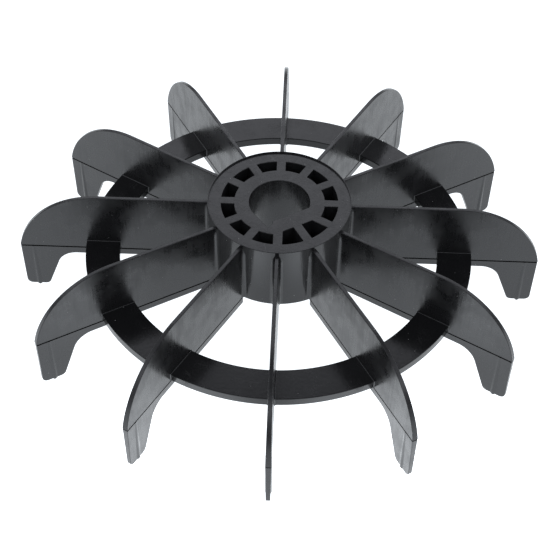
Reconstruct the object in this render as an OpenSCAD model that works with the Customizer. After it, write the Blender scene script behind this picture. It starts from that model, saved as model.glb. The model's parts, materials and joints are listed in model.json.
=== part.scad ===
// Moulded plastic flywheel fan: a tall hub with a D-shaped bore, twelve straight
// radial blades, a flat support ring through the blades and a leg under each blade tip.
// The mould's parting plane is the underside of the ring and of the blades. The blades narrow
// upwards from it and the legs narrow downwards, so that the part leaves the mould.
// Origin: on the bore axis, in the plane of the leg tips. +Z is up, along the axis.

/* [Wheel] */
// Radius of the blade tips at the parting plane
tip_radius = 112; // [108:0.5:120]
// Height of the parting plane above the leg tips
parting = 26; // [25:0.1:30]

/* [Hub] */
// Outer radius of the hub
hub_radius = 30; // [29.5:0.1:34]
// Height of the hub above the parting plane
hub_height = 30; // [30:0.1:34]
// Depth of the hub's underside below the parting plane
hub_drop = 0.6; // [0:0.1:2]
// Width of the thin raised rim round the hub's face
rim_width = 0.3; // [0.2:0.05:1]
// Height of the rim above the hub's face
rim_height = 0.75; // [0.3:0.05:1.5]
// Thickness of the hub's top plate and of its bottom plate
plate_thickness = 3; // [2:0.1:5]

/* [Bore] */
// Radius of the bore
bore_radius = 12.7; // [12:0.05:13]
// Distance from the axis to the bore's flat
flat_distance = 8.6; // [8:0.05:9]
// Direction from the axis to the flat, in degrees from +X
flat_angle = -60; // [-180:30:180]
// Distance of the relief corner's point from the axis, along the direction to the flat
relief_reach = 11.1; // [10.5:0.1:11.5]
// Distance of the relief corner's point from the axis, along the flat
relief_side = 11.3; // [11:0.1:11.6]
// Width of the relief corner's short wall, along the flat
relief_shoulder = 2.7; // [2.4:0.1:2.9]
// Width of the relief corner's mouth, along the flat
relief_mouth = 3.5; // [3:0.1:4]

/* [Pockets] */
// Inner radius of the pockets
pocket_inner = 19; // [18.5:0.1:20]
// Outer radius of the pockets
pocket_outer = 24.4; // [23.5:0.1:25]
// Distance from the axis to the straight walls of the two pockets beside the flat
pocket_flat = 15.7; // [15:0.1:16.4]
// Width of the ribs between the pockets
rib_width = 3.9; // [3:0.1:5]

/* [Blades] */
// Height of the blades above the parting plane
blade_height = 29; // [26:0.1:29.1]
// Blade thickness at the parting plane
blade_root = 2.5; // [2.2:0.1:3]
// Blade thickness at the top edge
blade_crest = 1.6; // [1.2:0.1:2]
// Radius of the round outer end of the blade
tip_round = 36.4; // [33:0.2:40]

/* [Ring] */
// Inner radius of the support ring
ring_inner = 68.2; // [60:0.1:72]
// Outer radius of the support ring
ring_outer = 82.8; // [78:0.1:84]
// Thickness of the support ring
ring_thickness = 3.8; // [2:0.1:5]

/* [Skirts and legs] */
// Depth of the skirt below the parting plane, at the hub
skirt_inner = 4; // [3:0.1:4.1]
// Depth of the skirt below the parting plane, outside the ring
skirt_outer = 4.2; // [4.1:0.1:5]
// Thickness of the skirt and leg at the parting plane
leg_root = 2.5; // [2:0.1:2.5]
// Thickness of the leg at its lower end
leg_foot = 1.8; // [1.4:0.1:2]
// Depth of the leg below the parting plane
leg_depth = 25; // [20:0.1:25.2]
// Width of the leg's lower end
leg_width = 10; // [8.5:0.1:12]
// Slope of the leg's inner edge from the vertical, in degrees
leg_lean = 21; // [15:0.5:24]
// Radius of the leg's lower corners
leg_round = 2.5; // [1:0.1:2.5]
// Radius of the concave corner between the skirt and the leg
leg_fillet = 9; // [5:0.5:10]

/* [Ejector posts] */
// Distance from the axis to the ejector post in each leg
post_centre = 106.5; // [106:0.1:107]
// Radius of the ejector posts
post_radius = 1.35; // [1.3:0.05:1.5]
// Radius of the nub under each post
nub_radius = 0.9; // [0.6:0.05:0.95]

/* [Hidden] */

$fn = 120;
plastic = [0.16, 0.16, 0.17];
blade_count = 12;
pitch = 360 / blade_count;
wall_height = hub_height - 2 * plate_thickness;

// The blade's end arc is level at the top edge and reaches the parting plane at the tip
arc_z = blade_height - tip_round;
arc_r = tip_radius - sqrt(pow(tip_round, 2) - pow(arc_z, 2));

// The leg's inner edge, as its radius at the leg's foot and at the skirt's lower edge
leg_inner_foot = tip_radius - leg_width;
leg_inner_top = leg_inner_foot - (leg_depth - skirt_outer) * tan(leg_lean);
// The concave corner's centre: below the skirt and inside the leaning edge
fillet_r = leg_inner_top - leg_fillet * tan((90 - leg_lean) / 2);
fillet_z = -skirt_outer - leg_fillet;
// The lower corners' centres
foot_z = leg_round - leg_depth;
foot_inner_r = leg_inner_foot + leg_round * tan((90 - leg_lean) / 2);
foot_outer_r = tip_radius - leg_round;
corner_steps = 8;

// Cutting solids reach this far past what they cut
past = 1;

// A point on a circle, at an angle from +Z towards the blade tip, as [radius, height]
function on_arc(centre_r, centre_z, radius, angle) =
    [centre_r + radius * sin(angle), centre_z + radius * cos(angle)];

// An arc from one angle to another, as a list of points
function arc(centre_r, centre_z, radius, from, to) =
    [for (s = [0 : corner_steps])
        on_arc(centre_r, centre_z, radius, from + (to - from) * s / corner_steps)];

// Blade 1 points along -Y, and the others follow clockwise, seen from above
function blade_angle(i) = -90 - pitch * (i - 1);

// The bore: a circle cut by the flat, with a relief corner at one end of the flat
module bore_outline() {
    rotate(flat_angle) {
        intersection() {
            circle(r = bore_radius);
            translate([-bore_radius - past, -bore_radius - past])
                square([bore_radius + past + flat_distance, 2 * (bore_radius + past)]);
        }
        polygon([
            [0, 0],
            [0, -bore_radius],
            [relief_reach, -relief_side],
            [(relief_reach + flat_distance) / 2, relief_shoulder - relief_side],
            [flat_distance, relief_mouth - relief_side]
        ]);
    }
}

// The straight-walled space of the two deeper pockets beside the flat
module deep_outline() {
    reach = 2 * pocket_outer;
    rotate(flat_angle)
        intersection() {
            circle(r = pocket_outer);
            polygon([
                [pocket_flat, -pocket_flat * tan(pitch)],
                [reach, -reach * tan(pitch)],
                [reach, reach * tan(pitch)],
                [pocket_flat, pocket_flat * tan(pitch)]
            ]);
        }
}

// Everything between the bore's wall and the hub's outer wall: ribs and pockets together
module pocket_band() {
    difference() {
        circle(r = pocket_outer);
        circle(r = pocket_inner);
    }
    deep_outline();
}

// The straight ribs, aligned with the blades
module rib_outline() {
    for (i = [1 : blade_count])
        rotate(blade_angle(i))
            translate([0, -rib_width / 2])
                square([hub_radius, rib_width]);
}

// Top plate of the hub: the face, with the mouths of the pockets and of the bore, and its rim
module hub_face() {
    rimmed_height = plate_thickness + rim_height;
    color(plastic)
        translate([0, 0, parting + hub_height - plate_thickness])
            difference() {
                cylinder(r = hub_radius, h = rimmed_height);
                translate([0, 0, plate_thickness])
                    cylinder(r = hub_radius - rim_width, h = rim_height + past);
                translate([0, 0, -past])
                    linear_extrude(plate_thickness + 2 * past) {
                        bore_outline();
                        difference() {
                            pocket_band();
                            rib_outline();
                        }
                    }
            }
}

// Outer wall of the hub, between its plates
module hub_barrel() {
    color(plastic)
        translate([0, 0, parting + plate_thickness])
            difference() {
                cylinder(r = hub_radius, h = wall_height);
                translate([0, 0, -past])
                    cylinder(r = pocket_outer, h = wall_height + 2 * past);
            }
}

// Ribs that tie the bore's sleeve to the outer wall
module hub_ribs() {
    color(plastic)
        translate([0, 0, parting + plate_thickness])
            linear_extrude(wall_height)
                intersection() {
                    rib_outline();
                    pocket_band();
                }
}

// Sleeve around the bore, with a flat outside where the two deeper pockets are
module bore_sleeve() {
    color(plastic)
        translate([0, 0, parting + plate_thickness])
            linear_extrude(wall_height)
                difference() {
                    circle(r = pocket_inner);
                    deep_outline();
                    bore_outline();
                }
}

// Bottom plate that closes the pockets
module hub_floor() {
    color(plastic)
        translate([0, 0, parting - hub_drop])
            linear_extrude(hub_drop + plate_thickness)
                difference() {
                    circle(r = hub_radius);
                    bore_outline();
                }
}

// Flat ring through all the blades
module support_ring() {
    color(plastic)
        translate([0, 0, parting])
            difference() {
                cylinder(r = ring_outer, h = ring_thickness);
                translate([0, 0, -past])
                    cylinder(r = ring_inner, h = ring_thickness + 2 * past);
            }
}

// Slab along +X, as thick as root at the parting plane and as thick as end at a height
module drafted_slab(root, end, height) {
    rotate([90, 0, 90])
        linear_extrude(tip_radius + past)
            polygon([[-root / 2, 0], [root / 2, 0], [end / 2, height], [-end / 2, height]]);
}

// Turns a side outline of [radius, height] points up into a slab along +X
module side_slab() {
    rotate([90, 0, 0])
        linear_extrude(2 * blade_root, center = true)
            children();
}

// Side outline of a blade: level along its top, with a round outer end
module blade_side() {
    square([arc_r, blade_height]);
    intersection() {
        translate([arc_r, arc_z])
            circle(r = tip_round);
        translate([arc_r - past, 0])
            square([tip_radius, blade_height]);
    }
}

// One blade above the parting plane, standing on the ring where they cross
module blade(i) {
    color(plastic)
        translate([0, 0, parting])
            rotate(blade_angle(i))
                difference() {
                    intersection() {
                        drafted_slab(blade_root, blade_crest, blade_height);
                        side_slab()
                            blade_side();
                    }
                    translate([0, 0, -past])
                        cylinder(r = hub_radius, h = blade_height + 2 * past);
                    translate([0, 0, -past])
                        difference() {
                            cylinder(r = ring_outer, h = ring_thickness + past);
                            translate([0, 0, -past])
                                cylinder(r = ring_inner, h = ring_thickness + 3 * past);
                        }
                }
}

// One skirt: the shallow strip under a blade, from the hub to the leg
module skirt(i) {
    color(plastic)
        translate([0, 0, parting])
            rotate(blade_angle(i))
                intersection() {
                    drafted_slab(leg_root, leg_foot, -leg_depth);
                    side_slab()
                        polygon([
                            [hub_radius, 0],
                            [hub_radius, -skirt_inner],
                            [ring_inner, -skirt_inner],
                            [ring_outer, -skirt_outer],
                            [fillet_r, -skirt_outer],
                            [fillet_r, 0]
                        ]);
                }
}

// Side outline of a leg, from where its concave corner starts out to the blade tip
module leg_side() {
    polygon(concat(
        [[fillet_r, 0]],
        arc(fillet_r, fillet_z, leg_fillet, 0, 90 - leg_lean),
        arc(foot_inner_r, foot_z, leg_round, 270 - leg_lean, 180),
        arc(foot_outer_r, foot_z, leg_round, 180, 90),
        [[tip_radius, 0]]
    ));
}

// One leg, with its ejector post and the nub that it stands on
module leg(i) {
    color(plastic)
        translate([0, 0, parting])
            rotate(blade_angle(i)) {
                intersection() {
                    drafted_slab(leg_root, leg_foot, -leg_depth);
                    side_slab()
                        leg_side();
                }
                translate([post_centre, 0, -leg_depth])
                    cylinder(r = post_radius, h = leg_depth);
                translate([post_centre, 0, -parting])
                    cylinder(r = nub_radius, h = parting);
            }
}

hub_face();
hub_barrel();
hub_ribs();
bore_sleeve();
hub_floor();
support_ring();
blade(1);  // blade_01
blade(2);  // blade_02
blade(3);  // blade_03
blade(4);  // blade_04
blade(5);  // blade_05
blade(6);  // blade_06
blade(7);  // blade_07
blade(8);  // blade_08
blade(9);  // blade_09
blade(10);  // blade_10
blade(11);  // blade_11
blade(12);  // blade_12
skirt(1);  // skirt_01
skirt(2);  // skirt_02
skirt(3);  // skirt_03
skirt(4);  // skirt_04
skirt(5);  // skirt_05
skirt(6);  // skirt_06
skirt(7);  // skirt_07
skirt(8);  // skirt_08
skirt(9);  // skirt_09
skirt(10);  // skirt_10
skirt(11);  // skirt_11
skirt(12);  // skirt_12
leg(1);  // leg_01
leg(2);  // leg_02
leg(3);  // leg_03
leg(4);  // leg_04
leg(5);  // leg_05
leg(6);  // leg_06
leg(7);  // leg_07
leg(8);  // leg_08
leg(9);  // leg_09
leg(10);  // leg_10
leg(11);  // leg_11
leg(12);  // leg_12
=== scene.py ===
"""Moulded plastic flywheel fan: hub, ring, twelve blades and twelve legs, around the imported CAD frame."""
import json
import math

import bmesh
import bpy
from mathutils import Matrix, Vector, geometry

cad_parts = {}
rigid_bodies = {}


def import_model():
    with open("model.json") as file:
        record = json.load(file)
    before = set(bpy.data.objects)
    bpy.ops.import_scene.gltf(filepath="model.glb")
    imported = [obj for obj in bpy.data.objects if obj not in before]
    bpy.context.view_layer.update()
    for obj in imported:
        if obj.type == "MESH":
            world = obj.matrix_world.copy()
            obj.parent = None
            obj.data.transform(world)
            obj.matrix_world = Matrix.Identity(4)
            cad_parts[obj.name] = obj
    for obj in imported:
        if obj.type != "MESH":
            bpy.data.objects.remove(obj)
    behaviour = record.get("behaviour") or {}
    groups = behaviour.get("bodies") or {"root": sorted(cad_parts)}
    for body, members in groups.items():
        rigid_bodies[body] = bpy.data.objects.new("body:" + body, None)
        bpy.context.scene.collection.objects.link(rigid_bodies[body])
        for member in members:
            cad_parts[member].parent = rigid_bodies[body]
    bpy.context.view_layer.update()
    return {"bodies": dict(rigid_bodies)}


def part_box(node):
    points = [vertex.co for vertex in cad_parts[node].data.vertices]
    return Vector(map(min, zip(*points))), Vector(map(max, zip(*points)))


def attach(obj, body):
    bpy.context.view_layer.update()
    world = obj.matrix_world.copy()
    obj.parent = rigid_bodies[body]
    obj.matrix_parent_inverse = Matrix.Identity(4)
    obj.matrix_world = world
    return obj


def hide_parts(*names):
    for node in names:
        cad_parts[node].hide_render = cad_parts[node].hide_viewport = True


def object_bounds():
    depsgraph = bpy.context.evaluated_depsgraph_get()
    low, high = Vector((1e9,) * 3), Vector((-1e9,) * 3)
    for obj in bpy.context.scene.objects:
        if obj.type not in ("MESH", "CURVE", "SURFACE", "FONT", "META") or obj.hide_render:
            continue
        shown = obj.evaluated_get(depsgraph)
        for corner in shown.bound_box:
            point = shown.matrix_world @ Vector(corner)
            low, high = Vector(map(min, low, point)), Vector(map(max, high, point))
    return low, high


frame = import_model()

MM = 0.001  # lengths below are in millimetres, and meshes are in metres
BODY = list(frame["bodies"])[0]


def cad_box(node):
    """Lowest and highest corner of a CAD node, in millimetres."""
    low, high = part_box(node)
    return Vector(low) / MM, Vector(high) / MM


# ---- Sizes taken from the frame ------------------------------------------------------------
hub_high = cad_box("hub_barrel")[1]
rim_high = cad_box("hub_face")[1]
floor_low, floor_high = cad_box("hub_floor")
ring_low, ring_high = cad_box("support_ring")
blade_low, blade_high = cad_box("blade_01")
leg_low = cad_box("leg_01")[0]
PARTING = ring_low.z                     # height of the mould's parting plane
# The heights and depths that follow are measured from the parting plane
HUB_LOW = floor_low.z - PARTING
FLOOR_TOP = floor_high.z - PARTING       # where the pockets end
RIM_TOP = rim_high.z - PARTING           # top of the thin raised rim round the hub's face
HUB_R = hub_high.x
RING_OUT = ring_high.x
RING_H = ring_high.z - PARTING
TIP_R = -blade_low.y
BLADE_H = blade_high.z - PARTING
BLADE_ROOT = blade_high.x - blade_low.x  # thickness at the parting plane
NUB_DEPTH = PARTING - leg_low.z

# ---- Sizes that the CAD boxes don't show ---------------------------------------------------
BLADES = 12
PITCH = 360 / BLADES                     # angle between two blades, in degrees
TURN_STEPS = 240                         # steps round the hub and the ring

RING_IN = 68.2                           # inner radius of the ring
RING_ROUND = 0.35                        # rounding of its upper edges; the lower ones have half of it
RING_FILLET = 0.35                       # fillet between blade and ring
UNDER_FILLET = 0.6                       # fillet between skirt and ring, underneath

BLADE_CREST = 1.6                        # blade thickness at its top edge
TIP_ROUND = 36.4                         # radius of the blade's outer end
EDGE_ROUND = 0.3                         # rounding of the blades' and legs' thin edges
HUB_FILLET = 1.6                         # fillet between blade and hub
HUB_FILLET_FADE = 3                      # it dies away over this height, below the blade's top
INTO_HUB = 0.6                           # how far a blade's root reaches inside the hub's wall
INTO_BLADE = 0.3                         # how far a leg's top reaches inside the blade

LEG_ROOT = 2.5                           # leg thickness at the parting plane
LEG_FOOT = 1.8                           # leg thickness at the foot
LEG_DEPTH = 25
LEG_WIDTH = 10                           # width of the foot
LEG_LEAN = 21                            # slope of the leg's inner edge, in degrees
LEG_ROUND_IN = 2.6                       # rounding of the foot's inner corner
LEG_ROUND_OUT = 2.5                      # rounding of the foot's outer corner
LEG_FILLET = 9                           # concave corner between skirt and leg
LEG_INSET = 0.1                          # how far the leg's outer edge is inside the blade's tip
SKIRT_IN = 4                             # depth of the skirt inside the ring
SKIRT_OUT = 4.2                          # depth of the skirt outside the ring
SKIRT_END_ROUND = 0.4                    # rounding of the skirt's end at the hub

GROOVE_DEPTH = 0.45                      # groove under the parting plane, in the legs and skirts
GROOVE_HEIGHT = 0.65
GROOVE_SLOPE = 0.1                       # height of the groove's lower wall
GROOVE_END = 3                           # length of its outer end, where edges aren't rounded
NOTCH = 0.7                              # how far it cuts in at the leg's outer end

POST_R = 106.5                           # the ejector post's place along the leg
POST_RADIUS = 1.35
POST_TOP = 0.5                           # depth at which the post starts
NUB_RADIUS = 0.9
NUB_ROUND = 0.5
NUB_START = LEG_DEPTH - 1                # the nub starts inside the post

RIM_WIDTH = 0.3
RIM_HEIGHT = 0.75
RIM_ROUND = 0.08
HUB_TOP = RIM_TOP - RIM_HEIGHT           # height of the hub's face
HUB_FOOT_ROUND = 0.2                     # rounding of the hub's lower edge
HOLE_ROUND = 0.22                        # rounding of the bore's and the pockets' edges

BORE_R = 12.7
FLAT_AT = 8.6                            # distance from the axis to the bore's flat
FLAT_ANGLE = -60                         # direction from the axis to the flat, in degrees
RELIEF_AT = 11.1                         # the relief corner's point, from the axis towards the flat
RELIEF_SIDE = 11.3                       # and along the flat
RELIEF_SHOULDER = 2.7                    # the relief corner's short wall, along the flat
RELIEF_MOUTH = 3.5                       # the relief corner's mouth, along the flat

POCKET_IN = 19                           # inner radius of the pockets
POCKET_OUT = 24.4                        # outer radius of the pockets
POCKET_FLAT = 15.7                       # distance from the axis to the two pockets beside the flat
POCKET_DRAFT = 0.25                      # how much a pocket narrows on each side, down to its floor
MOUTH_DRAFT = 0.005                      # how much of that is in its mouth
POCKET_CORNER = 0.6                      # bevel round a pocket's floor
POCKET_MOUTH = 0.5                       # depth of a pocket's mouth, which has the hub's own material; below it the walls and floor have painted shade
RIB_W = 3.9                              # width of the ribs between the pockets

# Spacing of mesh points: along outlines, along rows inside them, and round the ring's section
EDGE_SPACING = 2
ROW_SPACING = 1.5
RING_SPACING = 1.2
# Mesh rows across a rounded edge, a fillet and the post, as parts of its radius
EDGE_STEPS = (0.12, 0.35, 0.65, 1.0)
FILLET_STEPS = (0, 0.06, 0.2, 0.45, 0.7, 1)
POST_STEPS = (-1, -0.8, -0.55, -0.3, 0, 0.3, 0.55, 0.8, 1)
HAIR = 0.01                              # room for rounding errors when two heights are compared
WELD = 0.002                             # points closer than this are one
SHARP_ANGLE = 32                         # edges sharper than this many degrees aren't shaded smooth


# ---- Mesh helpers --------------------------------------------------------------------------
def polar(radius, degrees):
    return radius * math.cos(math.radians(degrees)), radius * math.sin(math.radians(degrees))


def arc(centre, radius, start, end, steps):
    """Points on a circle from one angle to another, in degrees from +x, both ends included."""
    return [(centre[0] + polar(radius, start + (end - start) * i / steps)[0],
             centre[1] + polar(radius, start + (end - start) * i / steps)[1]) for i in range(steps + 1)]


def line(a, b, step):
    """Points from a to b, about step apart, both ends included."""
    n = max(1, round(math.dist(a, b) / step))
    return [(a[0] + (b[0] - a[0]) * i / n, a[1] + (b[1] - a[1]) * i / n) for i in range(n + 1)]


def joined(*runs):
    """One path from several, without the points that repeat where they meet."""
    path = []
    for run in runs:
        for p in run:
            if not path or math.dist(path[-1], p) > 1e-4:
                path.append(p)
    return path


def shifted(path, d, closed=False):
    """The path moved d to its left, with mitred corners."""
    n, out = len(path), []
    for i, p in enumerate(path):
        a = path[i - 1] if i or closed else p
        b = path[(i + 1) % n] if i < n - 1 or closed else p
        u = Vector((p[0] - a[0], p[1] - a[1]))
        v = Vector((b[0] - p[0], b[1] - p[1]))
        u = u.normalized() if u.length > 1e-9 else v.normalized()
        v = v.normalized() if v.length > 1e-9 else u
        normal = Vector((-u.y - v.y, u.x + v.x))
        normal /= max(normal.length_squared / 2, 0.3)
        out.append((p[0] + d * normal.x, p[1] + d * normal.y))
    return out


def path_distance(p, path):
    """Distance from a point to an open path."""
    best = 1e9
    px, py = p
    for (ax, ay), (bx, by) in zip(path, path[1:]):
        dx, dy = bx - ax, by - ay
        t = max(0.0, min(1.0, ((px - ax) * dx + (py - ay) * dy) / (dx * dx + dy * dy)))
        best = min(best, (ax + t * dx - px) ** 2 + (ay + t * dy - py) ** 2)
    return math.sqrt(best)


def inside(p, polygon):
    """Whether a point is inside a closed polygon."""
    x, y = p
    odd = False
    for (ax, ay), (bx, by) in zip(polygon, polygon[1:] + polygon[:1]):
        if (ay > y) != (by > y) and x < ax + (bx - ax) * (y - ay) / (by - ay):
            odd = not odd
    return odd


def flat_mesh(outline, guides=(), holes=(), dots=()):
    """Triangles that fill an outline, with edges along each guide path, around the holes."""
    points, edges = [], []
    for path, closed in [(outline, True)] + [(g, False) for g in guides] + [(h, True) for h in holes]:
        first = len(points)
        points += path
        edges += [(first + i, first + i + 1) for i in range(len(path) - 1)]
        if closed:
            edges.append((len(points) - 1, first))
    points += dots
    out = geometry.delaunay_2d_cdt([Vector(p) for p in points], edges, [], 0, 1e-5)
    verts = [(v.x, v.y) for v in out[0]]
    faces = []
    for face in out[2]:
        c = (sum(verts[i][0] for i in face) / 3, sum(verts[i][1] for i in face) / 3)
        if inside(c, outline) and not any(inside(c, h) for h in holes):
            faces.append(tuple(face))
    return verts, faces


def boundary_edges(faces):
    """Edges that only one face uses, in that face's direction."""
    seen = {}
    for face in faces:
        for a, b in zip(face, face[1:] + face[:1]):
            seen[(a, b)] = True
    return [(a, b) for a, b in seen if (b, a) not in seen]


class Shell:
    """Collects vertices and faces in millimetres, z from the parting plane, and makes an object."""

    def __init__(self):
        self.verts = []
        self.faces = []
        self.slots = []  # which of the piece's materials each face has

    def add(self, verts, faces, slot=0):
        first = len(self.verts)
        self.verts += verts
        self.faces += [tuple(first + i for i in f) for f in faces]
        self.slots += [slot] * len(faces)

    def rings(self, loops, slot=0):
        """Skins a row of closed loops that have the same number of points."""
        n = len(loops[0])
        verts = [p for loop in loops for p in loop]
        faces = []
        for k in range(len(loops) - 1):
            for i in range(n):
                j = (i + 1) % n
                faces.append((k * n + i, k * n + j, (k + 1) * n + j, (k + 1) * n + i))
        self.add(verts, faces, slot)

    def turned(self, degrees):
        """A copy turned about the axis."""
        c, s = polar(1, degrees)
        other = Shell()
        other.add([(x * c - y * s, x * s + y * c, z) for x, y, z in self.verts], self.faces)
        other.slots = self.slots
        return other

    def build(self, name, materials, nodes):
        """Makes the object, which stands for the CAD nodes."""
        mesh = bpy.data.meshes.new(name)
        mesh.from_pydata([(x * MM, y * MM, (z + PARTING) * MM) for x, y, z in self.verts], [], self.faces)
        mesh.polygons.foreach_set("material_index", self.slots)
        bm = bmesh.new()
        bm.from_mesh(mesh)
        bmesh.ops.remove_doubles(bm, verts=bm.verts, dist=WELD * MM)
        bmesh.ops.recalc_face_normals(bm, faces=bm.faces)
        bm.to_mesh(mesh)
        bm.free()
        mesh.shade_smooth()
        mesh.set_sharp_from_angle(angle=math.radians(SHARP_ANGLE))
        for material in materials:
            mesh.materials.append(material)
        piece = bpy.data.objects.new(name, mesh)
        bpy.context.scene.collection.objects.link(piece)
        weighted = piece.modifiers.new("even_normals", "WEIGHTED_NORMAL")
        weighted.keep_sharp = True
        weighted.weight = 80
        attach(piece, BODY)
        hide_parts(*nodes)
        return piece


# ---- Blades and legs -----------------------------------------------------------------------
def fillet_rise(distance, radius):
    """How far a fillet stands off a wall, at a distance from the wall that it runs into.

    It is also what a rounded edge loses on each side, at a distance inside the edge.
    """
    if distance >= radius:
        return 0.0
    if distance <= 0:
        return radius
    return radius - math.sqrt(radius ** 2 - (radius - distance) ** 2)


def ring_distance(r, z):
    """Distance from the ring's cross-section, or 0 inside it."""
    dr = max(RING_IN - r, r - RING_OUT, 0)
    dz = max(-z, z - RING_H, 0)
    return math.hypot(dr, dz)


def around_ring(d):
    """A closed path round the ring's cross-section, at a distance from it."""
    corners = [(RING_OUT, 0, -90), (RING_OUT, RING_H, 0), (RING_IN, RING_H, 90), (RING_IN, 0, 180)]
    runs = []
    for r, z, start in corners:
        runs.append(arc((r, z), d, start, start + 90, 4) if d else [(r, z)])
    path = joined(*runs)
    dense = []
    for a, b in zip(path, path[1:] + path[:1]):
        dense += line(a, b, RING_SPACING)[:-1]
    return dense + dense[:1]


def slab(outline, guides, dots, half_thickness, groove=None):
    """A thin solid along +X, with its outline in [radius, height] and a half thickness at each point.

    Faces between the two heights of the groove get the piece's second material, which paints shade into the
    groove.
    """
    verts, faces = flat_mesh(outline, guides, dots=dots)
    half = [half_thickness(r, z) for r, z in verts]
    shell = Shell()
    sides = []
    for sign in (1, -1):
        sides += [(math.sqrt(max(r * r - h * h, 0)), sign * h, z) for (r, z), h in zip(verts, half)]
    n = len(verts)
    skins = [tuple(reversed(f)) for f in faces] + [tuple(i + n for i in f) for f in faces]
    rim = [(a, b, b + n, a + n) for a, b in boundary_edges(faces)]
    shell.add(sides, skins + rim)
    if groove:
        for i, face in enumerate(shell.faces):
            middle = sum(shell.verts[v][2] for v in face) / len(face)
            shell.slots[i] = int(groove[0] < middle < groove[1])
    return shell


def inner_points(outline, free, radii, heights, gap):
    """Extra mesh points inside an outline, more than a gap away from its free edge."""
    return [(r, z) for r in radii for z in heights
            if inside((r, z), outline) and path_distance((r, z), free) > gap]


def blade_shell():
    """One blade above the parting plane, pointing along +X."""
    arc_z = BLADE_H - TIP_ROUND
    arc_r = TIP_R - math.sqrt(TIP_ROUND ** 2 - arc_z ** 2)
    low = math.degrees(math.asin(-arc_z / TIP_ROUND))
    root = HUB_R - INTO_HUB
    free = joined(
        arc((arc_r, arc_z), TIP_ROUND, low, 90, 48),
        line((arc_r, BLADE_H), (root, BLADE_H), EDGE_SPACING),
    )
    back = line((root, BLADE_H), (root, 0), EDGE_SPACING)
    outline = free + back[1:] + line((root, 0), (TIP_R, 0), EDGE_SPACING)[1:-1]

    guides = [shifted(free, EDGE_ROUND * k) for k in EDGE_STEPS]
    fillet_rows = [HUB_R + HUB_FILLET * k for k in FILLET_STEPS]
    guides += [line((r, 0), (r, BLADE_H), ROW_SPACING) for r in fillet_rows]
    guides += [around_ring(RING_FILLET * k) for k in FILLET_STEPS]
    dots = inner_points(outline, free, range(34, 110, 4), range(6, 28, 4), 2)

    def half(r, z):
        thick = (BLADE_ROOT - (BLADE_ROOT - BLADE_CREST) * z / BLADE_H) / 2
        thick -= fillet_rise(path_distance((r, z), free), EDGE_ROUND)
        fade = min(1, (BLADE_H - z) / HUB_FILLET_FADE)
        at_hub = fillet_rise(r - HUB_R, HUB_FILLET) * fade
        return thick + max(at_hub, fillet_rise(ring_distance(r, z), RING_FILLET))

    return slab(outline, guides, dots, half)


def leg_outline():
    """The free edge of a skirt and leg, from the hub out to the tip, and their whole outline."""
    lean = math.radians(LEG_LEAN)
    turn = math.tan((math.pi / 2 - lean) / 2)
    foot_in = TIP_R - LEG_WIDTH
    top_in = foot_in - (LEG_DEPTH - SKIRT_OUT) * math.tan(lean)
    edge = TIP_R - LEG_INSET
    fillet = (top_in - LEG_FILLET * turn, -SKIRT_OUT - LEG_FILLET)
    inner = (foot_in + LEG_ROUND_IN * turn, LEG_ROUND_IN - LEG_DEPTH)
    outer = (edge - LEG_ROUND_OUT, LEG_ROUND_OUT - LEG_DEPTH)
    end = (HUB_R + SKIRT_END_ROUND, SKIRT_END_ROUND - SKIRT_IN)
    free = joined(
        line((HUB_R, INTO_BLADE), (HUB_R, end[1]), 0.5),
        arc(end, SKIRT_END_ROUND, 180, 270, 8),
        line((end[0], -SKIRT_IN), (RING_IN, -SKIRT_IN), EDGE_SPACING),
        line((RING_IN, -SKIRT_IN), (RING_OUT, -SKIRT_OUT), EDGE_SPACING),
        line((RING_OUT, -SKIRT_OUT), (fillet[0], -SKIRT_OUT), EDGE_SPACING),
        arc(fillet, LEG_FILLET, 90, LEG_LEAN, 16),
        arc(inner, LEG_ROUND_IN, 180 + LEG_LEAN, 270, 8),
        arc(outer, LEG_ROUND_OUT, 270, 360, 8),
        line((edge, outer[1]), (edge, -GROOVE_HEIGHT), EDGE_SPACING),
        [(TIP_R - NOTCH, GROOVE_SLOPE - GROOVE_HEIGHT), (TIP_R - NOTCH, INTO_BLADE)],
    )
    return free, free + line((TIP_R - NOTCH, INTO_BLADE), (HUB_R, INTO_BLADE), EDGE_SPACING)[1:-1]


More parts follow.
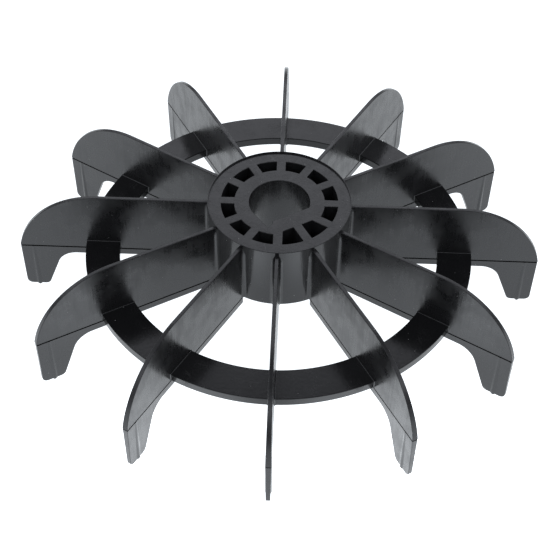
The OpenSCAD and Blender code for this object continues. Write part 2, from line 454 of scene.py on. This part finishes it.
def leg_shell():
    """One skirt and leg below the parting plane, along +X, with its ejector post and nub."""
    free, outline = leg_outline()
    # Depths of mesh rows: the groove's upper wall, its middle, and its lower wall
    groove_rows = (0.02, 0.06, GROOVE_HEIGHT / 2, GROOVE_HEIGHT, GROOVE_HEIGHT + GROOVE_SLOPE)
    guides = [shifted(free, EDGE_ROUND * k) for k in EDGE_STEPS]
    guides += [around_ring(UNDER_FILLET * k) for k in FILLET_STEPS]
    guides += [line((HUB_R + 0.1, -z), (TIP_R - NOTCH - 0.1, -z), ROW_SPACING) for z in groove_rows]
    post_rows = [POST_R + POST_RADIUS * k for k in POST_STEPS]
    guides += [line((r, -LEG_DEPTH), (r, 0), ROW_SPACING) for r in post_rows]
    dots = inner_points(outline, free, range(92, 112, 2), range(-22, 0, 3), 1.2)

    def half(r, z):
        thick = (LEG_ROOT + (LEG_ROOT - LEG_FOOT) * z / LEG_DEPTH) / 2
        thick += fillet_rise(ring_distance(r, z), UNDER_FILLET)
        across = POST_RADIUS ** 2 - (r - POST_R) ** 2
        if across > 0 and z < -POST_TOP:
            thick = max(thick, math.sqrt(across))
        below_groove = z < -GROOVE_HEIGHT - HAIR
        if not below_groove and z < -groove_rows[0] - HAIR:
            thick -= GROOVE_DEPTH
        if not below_groove and r > TIP_R - GROOVE_END:
            return thick
        return thick - fillet_rise(path_distance((r, z), free), EDGE_ROUND)

    # The groove's faces get the near-black, barely reflective material: painted shade along the parting
    # line.
    shell = slab(outline, guides, dots, half, groove=(-GROOVE_HEIGHT - GROOVE_SLOPE / 2, 0))
    rounding = arc((NUB_RADIUS - NUB_ROUND, -NUB_ROUND), NUB_ROUND, 0, 90, 5)
    # Radius and depth of the nub's rings; the first and the last are so small that they close it
    nub = [(0.001, NUB_START), (NUB_RADIUS, NUB_START)]
    nub += [(r, NUB_DEPTH + z) for r, z in rounding] + [(0.001, NUB_DEPTH)]
    shell.rings([[(POST_R + polar(radius, a)[0], polar(radius, a)[1], -depth) for a in range(0, 360, 20)]
                 for radius, depth in nub])
    return shell


# ---- Ring and hub --------------------------------------------------------------------------
def revolve(shell, profile, slot=0):
    """Skins a profile of [radius, height] points round the axis."""
    angles = [360 * i / TURN_STEPS for i in range(TURN_STEPS)]
    shell.rings([[(*polar(r, a), z) for a in angles] for r, z in profile], slot)


def ring_shell():
    """The support ring, with rounded edges."""
    shell = Shell()
    e, f = RING_ROUND, RING_ROUND / 2
    profile = arc((RING_OUT - e, RING_H - e), e, 0, 90, 5)
    profile += arc((RING_IN + e, RING_H - e), e, 90, 180, 5)
    profile += arc((RING_IN + f, f), f, 180, 270, 3)
    profile += arc((RING_OUT - f, f), f, 270, 360, 3)
    revolve(shell, profile + profile[:1])
    return shell


def turned(points, degrees):
    """Points in the plane, turned about the axis."""
    c, s = polar(1, degrees)
    return [(x * c - y * s, x * s + y * c) for x, y in points]


def bore_outline():
    """The D-shaped bore, with a relief corner at one end of the flat, counter-clockwise."""
    flat_end = math.sqrt(BORE_R ** 2 - FLAT_AT ** 2)
    start = math.degrees(math.atan2(flat_end, FLAT_AT))
    path = joined(
        line((FLAT_AT, RELIEF_MOUTH - RELIEF_SIDE), (FLAT_AT, flat_end), 1.5),
        arc((0, 0), BORE_R, start, 270, 80),
        line((0, -BORE_R), (RELIEF_AT, -RELIEF_SIDE), 1.5),
        [((RELIEF_AT + FLAT_AT) / 2, RELIEF_SHOULDER - RELIEF_SIDE)],
    )
    return turned(path, FLAT_ANGLE)


def pocket_outline(middle):
    """One pocket between two ribs, counter-clockwise, at the angle of its middle."""
    half_pitch = PITCH / 2
    out_gap = math.degrees(math.asin(RIB_W / 2 / POCKET_OUT))
    in_gap = math.degrees(math.asin(RIB_W / 2 / POCKET_IN))
    outer = arc((0, 0), POCKET_OUT, out_gap - half_pitch, half_pitch - out_gap, 8)
    side = math.copysign(1, math.sin(math.radians(FLAT_ANGLE - middle)))
    beside_flat = abs((middle - FLAT_ANGLE + 180) % 360 - 180) < PITCH
    if beside_flat:
        near = (POCKET_FLAT, RIB_W / 2)
        slope = math.radians(PITCH)
        far = (POCKET_FLAT, POCKET_FLAT * math.tan(slope) - RIB_W / 2 / math.cos(slope))
        inner = turned([far, near], -half_pitch)
        if side > 0:
            inner = [(x, -y) for x, y in reversed(inner)]
    else:
        inner = arc((0, 0), POCKET_IN, half_pitch - in_gap, in_gap - half_pitch, 6)
    return turned(outer + inner, middle)


def at_height(path, z):
    """A flat path as points in space."""
    return [(x, y, z) for x, y in path]


def hub_circle(radius):
    return [polar(radius, 360 * i / TURN_STEPS) for i in range(TURN_STEPS)]


def hub_wall():
    """The hub's outer wall and its raised rim, from the face's edge out and down, as [radius, height]."""
    rim = HUB_R - RIM_WIDTH
    profile = arc((rim - RIM_ROUND, HUB_TOP + RIM_ROUND), RIM_ROUND, -90, 0, 3)
    profile += arc((rim + RIM_ROUND, RIM_TOP - RIM_ROUND), RIM_ROUND, 180, 90, 3)
    profile += arc((HUB_R - RIM_ROUND, RIM_TOP - RIM_ROUND), RIM_ROUND, 90, 0, 3)
    profile += line((HUB_R, RIM_TOP - 0.4), (HUB_R, 1), 3)
    return profile + arc((HUB_R - HUB_FOOT_ROUND, HUB_LOW + HUB_FOOT_ROUND), HUB_FOOT_ROUND, 0, -90, 4)


def hub_shell():
    """The hub: its wall, face, underside, bore and pockets."""
    shell = Shell()
    revolve(shell, hub_wall(), slot=2)

    bore = bore_outline()
    pockets = [pocket_outline(PITCH / 2 + PITCH * i) for i in range(BLADES)]
    holes = [shifted(p, -HOLE_ROUND, closed=True) for p in [bore] + pockets]
    verts, faces = flat_mesh(hub_circle(HUB_R - RIM_WIDTH - RIM_ROUND), holes=holes)
    shell.add(at_height(verts, HUB_TOP), faces)
    verts, faces = flat_mesh(hub_circle(HUB_R - HUB_FOOT_ROUND), holes=holes[:1])
    shell.add(at_height(verts, HUB_LOW), faces)

    turns = (0, math.pi / 6, math.pi / 3, math.pi / 2)
    edge = [(HOLE_ROUND * (1 - math.sin(a)), HOLE_ROUND * (1 - math.cos(a))) for a in turns]
    down = [at_height(shifted(bore, -out, closed=True), HUB_TOP - drop) for out, drop in edge]
    up = [at_height(shifted(bore, -out, closed=True), HUB_LOW + drop) for out, drop in reversed(edge)]
    shell.rings(down + up)

    for pocket in pockets:
        mouth = [at_height(shifted(pocket, -out, closed=True), HUB_TOP - drop) for out, drop in edge]
        mouth.append(at_height(shifted(pocket, MOUTH_DRAFT, closed=True), HUB_TOP - POCKET_MOUTH))
        shell.rings(mouth)
        # Below the mouth, the pocket's walls and floor get the near-black, barely reflective material:
        # painted shade in the pockets.
        bottom = shifted(pocket, POCKET_DRAFT + POCKET_CORNER, closed=True)
        walls = [mouth[-1], at_height(shifted(pocket, POCKET_DRAFT, closed=True), FLOOR_TOP + POCKET_CORNER),
                 at_height(bottom, FLOOR_TOP)]
        shell.rings(walls, slot=1)
        verts, faces = flat_mesh(bottom)
        shell.add(at_height(verts, FLOOR_TOP), faces, slot=1)
    return shell


# ---- Material ------------------------------------------------------------------------------
# Sizes of the plastic's details, in millimetres
WAVE_SIZE = 22
STREAK_SIZE = 1.1
GRAIN_SIZE = 0.3
BLOTCH_SIZE = 7
SCRATCH_SIZE = 2.2
SPECK_SPACING = 2.6
SPECK_HEIGHT = 0.02
SPECK_RADIUS = (0.05, 0.085)             # from solid to nothing, as a part of the spacing
SPECK_SHARE = 0.3                        # how many of the cells have a speck
SCRATCH_WIDTH = 0.006                    # how far the noise may be from its middle value
SCRATCH_STRETCH = (0.15, 0.15, 3.0)
STREAK_STRETCH = (1, 1, 0.08)            # the flow streaks run up the walls
PALE = (0.2, 0.2, 0.2, 1)                # colour of specks, dust and scratches


class Graph:
    """Short ways to add nodes to a material."""

    def __init__(self, name):
        self.material = bpy.data.materials.new(name)
        self.material.use_nodes = True
        self.nodes = self.material.node_tree.nodes
        self.links = self.material.node_tree.links
        self.nodes.clear()
        self.place = self.add("ShaderNodeTexCoord").outputs["Object"]

    def add(self, kind, settings=(), **inputs):
        """A node with its settings, and with each input linked or set, by its name or as _number."""
        node = self.nodes.new(kind)
        for key, value in dict(settings).items():
            setattr(node, key, value)
        for key, value in inputs.items():
            socket = node.inputs[int(key[1:]) if key[0] == "_" else key.replace("_", " ")]
            if isinstance(value, bpy.types.NodeSocket):
                self.links.new(value, socket)
            else:
                socket.default_value = value
        return node

    def noise(self, size, stretch=(1, 1, 1), detail=2, shift=(0, 0, 0)):
        """Noise with features of about size millimetres, longer along an axis with a small stretch."""
        scale = [k / (size * MM) for k in stretch]
        at = self.add("ShaderNodeMapping", Vector=self.place, Scale=scale, Location=shift).outputs[0]
        return self.add("ShaderNodeTexNoise", Vector=at, Scale=1.0, Detail=detail).outputs["Fac"]

    def ramp(self, value, low, high, to_low=0.0, to_high=1.0):
        """Turns low..high of a value smoothly into to_low..to_high, and stays there beyond."""
        return self.add("ShaderNodeMapRange", {"interpolation_type": "SMOOTHSTEP"}, Value=value,
                        From_Min=low, From_Max=high, To_Min=to_low, To_Max=to_high).outputs[0]

    def distance(self, spot):
        """Distance from a spot, in metres."""
        node = self.add("ShaderNodeVectorMath", {"operation": "DISTANCE"}, _0=self.place, _1=spot)
        return node.outputs["Value"]

    def math(self, operation, a, b):
        return self.add("ShaderNodeMath", {"operation": operation}, _0=a, _1=b).outputs[0]

    def bump(self, height, depth, under=None):
        """Bumps of depth millimetres, on top of the bumps that are already there."""
        inputs = {"Height": height, "Distance": depth * MM, "Strength": 1.0}
        if under is not None:
            inputs["Normal"] = under
        return self.add("ShaderNodeBump", **inputs).outputs[0]

    def specks(self, amount):
        """Small round specks, one in some of the cells of a grid."""
        scale = (1 / (SPECK_SPACING * MM),) * 3
        at = self.add("ShaderNodeMapping", Vector=self.place, Scale=scale).outputs[0]
        cells = self.add("ShaderNodeTexVoronoi", Vector=at, Scale=1.0)
        chance = self.add("ShaderNodeSeparateColor", Color=cells.outputs["Color"]).outputs[0]
        small = self.ramp(cells.outputs["Distance"], *SPECK_RADIUS, 1, 0)
        least = 1 - SPECK_SHARE * amount
        return self.math("MULTIPLY", small, self.ramp(chance, least, least + 0.1))

    def scratches(self, where):
        """Thin wandering lines, only in some places."""
        thin = self.noise(SCRATCH_SIZE, stretch=SCRATCH_STRETCH, detail=2, shift=(1, 8, 2))
        off_line = self.math("ABSOLUTE", self.math("SUBTRACT", thin, 0.5), 0.0)
        return self.math("MULTIPLY", self.ramp(off_line, 0.0, SCRATCH_WIDTH, 1, 0), where)


def plastic(name, rough=(0.2, 0.34), base=0.006, level=0.5, grain=0.008, waves=0.04, streak=0.03,
            streak_along=STREAK_STRETCH, specks=1.0, dust=0.1, scuff=0.06):
    """Black moulded plastic: fine grain, slow sink waves, flow streaks, scratches, specks and dust.

    grain, waves and streak are depths in millimetres.
    """
    g = Graph(name)
    slow = g.noise(WAVE_SIZE, detail=1)
    streaks = g.noise(STREAK_SIZE, stretch=streak_along, detail=3, shift=(3.1, 1.7, 0.4))
    fine = g.noise(GRAIN_SIZE, detail=3)
    blotches = g.noise(BLOTCH_SIZE, detail=4, shift=(5, 2, 7))
    speck = g.specks(specks)
    scratch = g.scratches(g.ramp(blotches, 0.52, 0.62))

    normal = g.bump(slow, waves)
    normal = g.bump(streaks, streak, normal)
    normal = g.bump(g.math("SUBTRACT", fine, g.math("MULTIPLY", scratch, 0.5)), grain, normal)
    normal = g.bump(speck, SPECK_HEIGHT, normal)

    dusty = g.math("MULTIPLY", g.ramp(blotches, 0.45, 0.75), g.ramp(fine, 0.5, 0.72))
    pale = g.math("MAXIMUM", g.math("MULTIPLY", speck, 0.9), g.math("MULTIPLY", dusty, dust))
    pale = g.math("MAXIMUM", pale, g.math("MULTIPLY", scratch, scuff))
    black = (base, base * 1.03, base * 1.1, 1)
    colour = g.add("ShaderNodeMix", {"data_type": "RGBA"}, _0=pale, _6=black, _7=PALE).outputs[2]
    roughness = g.math("ADD", g.ramp(blotches, 0.3, 0.7, *rough), g.ramp(streaks, 0.35, 0.7, 0, 0.06))
    roughness = g.math("ADD", roughness, g.math("MULTIPLY", pale, 0.3))

    shader = g.add("ShaderNodeBsdfPrincipled", Base_Color=colour, Roughness=roughness, Normal=normal)
    shader.inputs["Specular IOR Level"].default_value = level
    shader.inputs["Specular Tint"].default_value = (0.96, 0.97, 1.0, 1)
    g.add("ShaderNodeOutputMaterial", Surface=shader.outputs[0])
    return g.material


# ---- Camera, sky and floor -----------------------------------------------------------------
CAMERA_AT = (8.58, -394.83, 447.59)
CAMERA_HEADING = 1.123                   # degrees anticlockwise of +Y
CAMERA_DIP = 48.117                      # degrees below the horizon
CAMERA_ROLL = 1.127
CAMERA_LENS = 85.7
CAMERA_SENSOR = 36
CAMERA_CLIP = (0.01, 20)                 # metres

SKY_COLOUR = (0.93, 0.945, 1.0)
SKY_GAIN = 2.0
# The sky's strength before the gain, by the sine of the height above the horizon
SKY = [(0, 0.22), (0.15, 0.18), (0.35, 0.22), (0.5, 0.45), (0.62, 0.95),
       (0.72, 0.89), (0.8, 0.36), (0.9, 0.2), (1, 0.16)]

# The floor's places and distances are in metres
FLOOR_HALF = 5
FLOOR_GAP = 0.0002                       # between the legs' nubs and the floor
FLOOR_COLOUR = (0.92, 0.962, 1.0)
UNDER_GLOW = 1.3                         # glow behind the wheel's middle
NEAR_GLOW = 1.6                          # in front of it and beside it
FAR_GLOW = 0.44                          # far away, where it meets the sky
FRONT_GLOW = 0.9                         # added at two spots, beside the blades next to the front one
UNDER_SPOT = (0, 0.06, 0)
FRONT_SPOTS = ((-0.045, -0.09, 0), (0.045, -0.09, 0))
UNDER_REACH = (0.09, 0.16)               # distances over which one glow passes into the next
FAR_REACH = (0.35, 2.4)
FRONT_REACH = (0.015, 0.045)


def set_camera():
    data = bpy.data.cameras.new("camera")
    data.lens = CAMERA_LENS
    data.sensor_width = CAMERA_SENSOR
    data.clip_start, data.clip_end = CAMERA_CLIP
    camera = bpy.data.objects.new("camera", data)
    bpy.context.scene.collection.objects.link(camera)
    camera.matrix_world = (
        Matrix.Translation(Vector(CAMERA_AT) * MM)
        @ Matrix.Rotation(math.radians(CAMERA_HEADING), 4, "Z")
        @ Matrix.Rotation(math.radians(90 - CAMERA_DIP), 4, "X")
        @ Matrix.Rotation(math.radians(CAMERA_ROLL), 4, "Z")
    )
    bpy.context.scene.camera = camera


def set_sky():
    """A soft studio sky, with its bright band at about 40 degrees above the horizon."""
    world = bpy.data.worlds.new("studio")
    world.use_nodes = True
    nodes, links = world.node_tree.nodes, world.node_tree.links
    direction = nodes.new("ShaderNodeTexCoord")
    height = nodes.new("ShaderNodeSeparateXYZ")
    sky = nodes.new("ShaderNodeFloatCurve")
    points = sky.mapping.curves[0].points
    for x, y in SKY[1:-1]:
        points.new(x, y)
    points[0].location, points[-1].location = SKY[0], SKY[-1]
    sky.mapping.update()
    links.new(direction.outputs["Generated"], height.inputs[0])
    links.new(height.outputs["Z"], sky.inputs["Value"])
    gain = nodes.new("ShaderNodeMath")
    gain.operation = "MULTIPLY"
    gain.inputs[1].default_value = SKY_GAIN
    links.new(sky.outputs[0], gain.inputs[0])
    links.new(gain.outputs[0], nodes["Background"].inputs["Strength"])
    nodes["Background"].inputs["Color"].default_value = (*SKY_COLOUR, 1)
    bpy.context.scene.world = world


def floor_material():
    """A pale floor that glows, so that it is white around the wheel."""
    g = Graph("floor")
    glow = g.math("MINIMUM", g.ramp(g.distance(UNDER_SPOT), *UNDER_REACH, UNDER_GLOW, NEAR_GLOW),
                  g.ramp(g.distance((0, 0, 0)), *FAR_REACH, NEAR_GLOW, FAR_GLOW))
    for spot in FRONT_SPOTS:
        glow = g.math("ADD", glow, g.ramp(g.distance(spot), *FRONT_REACH, FRONT_GLOW, 0))
    shader = g.add("ShaderNodeBsdfPrincipled", Emission_Strength=glow)
    shader.inputs["Base Color"].default_value = (0.1, 0.1, 0.1, 1)
    shader.inputs["Roughness"].default_value = 1
    shader.inputs["Specular IOR Level"].default_value = 0
    shader.inputs["Emission Color"].default_value = (*FLOOR_COLOUR, 1)
    g.add("ShaderNodeOutputMaterial", Surface=shader.outputs[0])
    return g.material


def set_floor():
    mesh = bpy.data.meshes.new("floor")
    s = FLOOR_HALF
    mesh.from_pydata([(-s, -s, 0), (s, -s, 0), (s, s, 0), (-s, s, 0)], [], [(0, 1, 2, 3)])
    mesh.materials.append(floor_material())
    floor = bpy.data.objects.new("floor", mesh)
    floor.location.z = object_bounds()[0][2] - FLOOR_GAP
    bpy.context.scene.collection.objects.link(floor)


# ---- Build ---------------------------------------------------------------------------------
set_camera()
blade_plastic = plastic("blade_plastic")
ring_plastic = plastic("ring_plastic", rough=(0.12, 0.2), level=0.35, streak_along=(1, 1, 1))
hub_plastic = plastic("hub_plastic", rough=(0.18, 0.28), level=0.45, grain=0.012, streak=0.045,
                      dust=0.16, scuff=0.2)
barrel_plastic = plastic("barrel_plastic", rough=(0.1, 0.16), level=0.42)
# Near-black, barely reflective material for the pockets' walls and floors: painted shade in the recesses.
painted_pocket_shade = plastic("painted_pocket_shade", rough=(0.5, 0.6), base=0.009, level=0.06, specks=0.1)
# Near-black, barely reflective material for the groove under the parting plane: painted shade that makes the
# parting line dark.
painted_groove_shade = plastic("painted_groove_shade", rough=(0.6, 0.7), base=0.003, level=0.05, specks=0.1)

hub_nodes = ["hub_face", "hub_barrel", "hub_ribs", "bore_sleeve", "hub_floor"]
hub_shell().build("hub", [hub_plastic, painted_pocket_shade, barrel_plastic], hub_nodes)
ring_shell().build("ring", [ring_plastic], ["support_ring"])
blade, leg = blade_shell(), leg_shell()
for i in range(1, BLADES + 1):
    angle = -90 - PITCH * (i - 1)
    blade.turned(angle).build(f"fan_blade_{i:02d}", [blade_plastic], [f"blade_{i:02d}"])
    leg_nodes = [f"skirt_{i:02d}", f"leg_{i:02d}"]
    leg.turned(angle).build(f"fan_leg_{i:02d}", [blade_plastic, painted_groove_shade], leg_nodes)
set_sky()
set_floor()
bpy.context.scene.view_settings.view_transform = "Standard"
